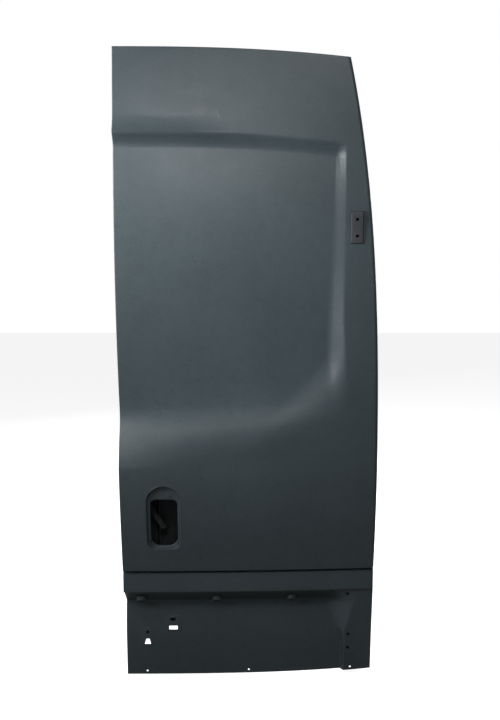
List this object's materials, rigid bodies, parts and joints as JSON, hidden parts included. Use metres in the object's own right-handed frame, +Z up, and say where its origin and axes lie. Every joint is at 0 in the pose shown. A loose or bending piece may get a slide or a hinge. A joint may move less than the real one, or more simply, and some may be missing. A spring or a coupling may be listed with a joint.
{
  "type": "campervan rear barn door leaf",
  "caption": "Bare sheet metal rear door leaf for a high-roof van: pressed outer skin with a window-shaped recess, handle pocket, hinge seats and inner frame.",
  "frame": {"origin": "middle of the upper hinge seat's outer face", "axes": "+X from the meeting edge to the hinge edge seen from outside, +Y into the vehicle, +Z up"},
  "size_m": [0.7806, 0.1467, 1.9403],
  "materials": {
    "primer": "satin dark blue-grey primer",
    "inner_primer": "matt dark blue-grey primer",
    "bare_plate": "matt brownish grey primer",
    "mastic": "matt black"
  },
  "bodies": {
    "root": {"outer_skin": "primer", "foot_panel": "primer", "handle_pocket": "primer", "upper_hinge_seat": "primer", "upper_hinge_reinforcement": "bare_plate", "upper_hinge_nut_1": "bare_plate", "upper_hinge_nut_2": "bare_plate", "lower_hinge_plate": "bare_plate", "lower_hinge_reinforcement": "bare_plate", "lower_hinge_nut_1": "bare_plate", "lower_hinge_nut_2": "bare_plate", "clip_cup_1": "primer", "clip_cup_2": "primer", "clip_cup_3": "primer", "lock_post": "inner_primer", "hinge_post": "inner_primer", "top_rail": "inner_primer", "waist_rail": "inner_primer", "bottom_rail": "inner_primer", "inner_panel": "inner_primer", "lower_stiffener_bar": "inner_primer", "upper_stiffener_bar": "inner_primer", "lower_mastic_strip": "mastic", "upper_mastic_strip": "mastic", "lock_reinforcement": "bare_plate", "upper_latch_plate": "bare_plate", "lower_latch_plate": "bare_plate", "check_strap_plate": "bare_plate", "handle_brace": "bare_plate"}
  },
  "joints": []
}
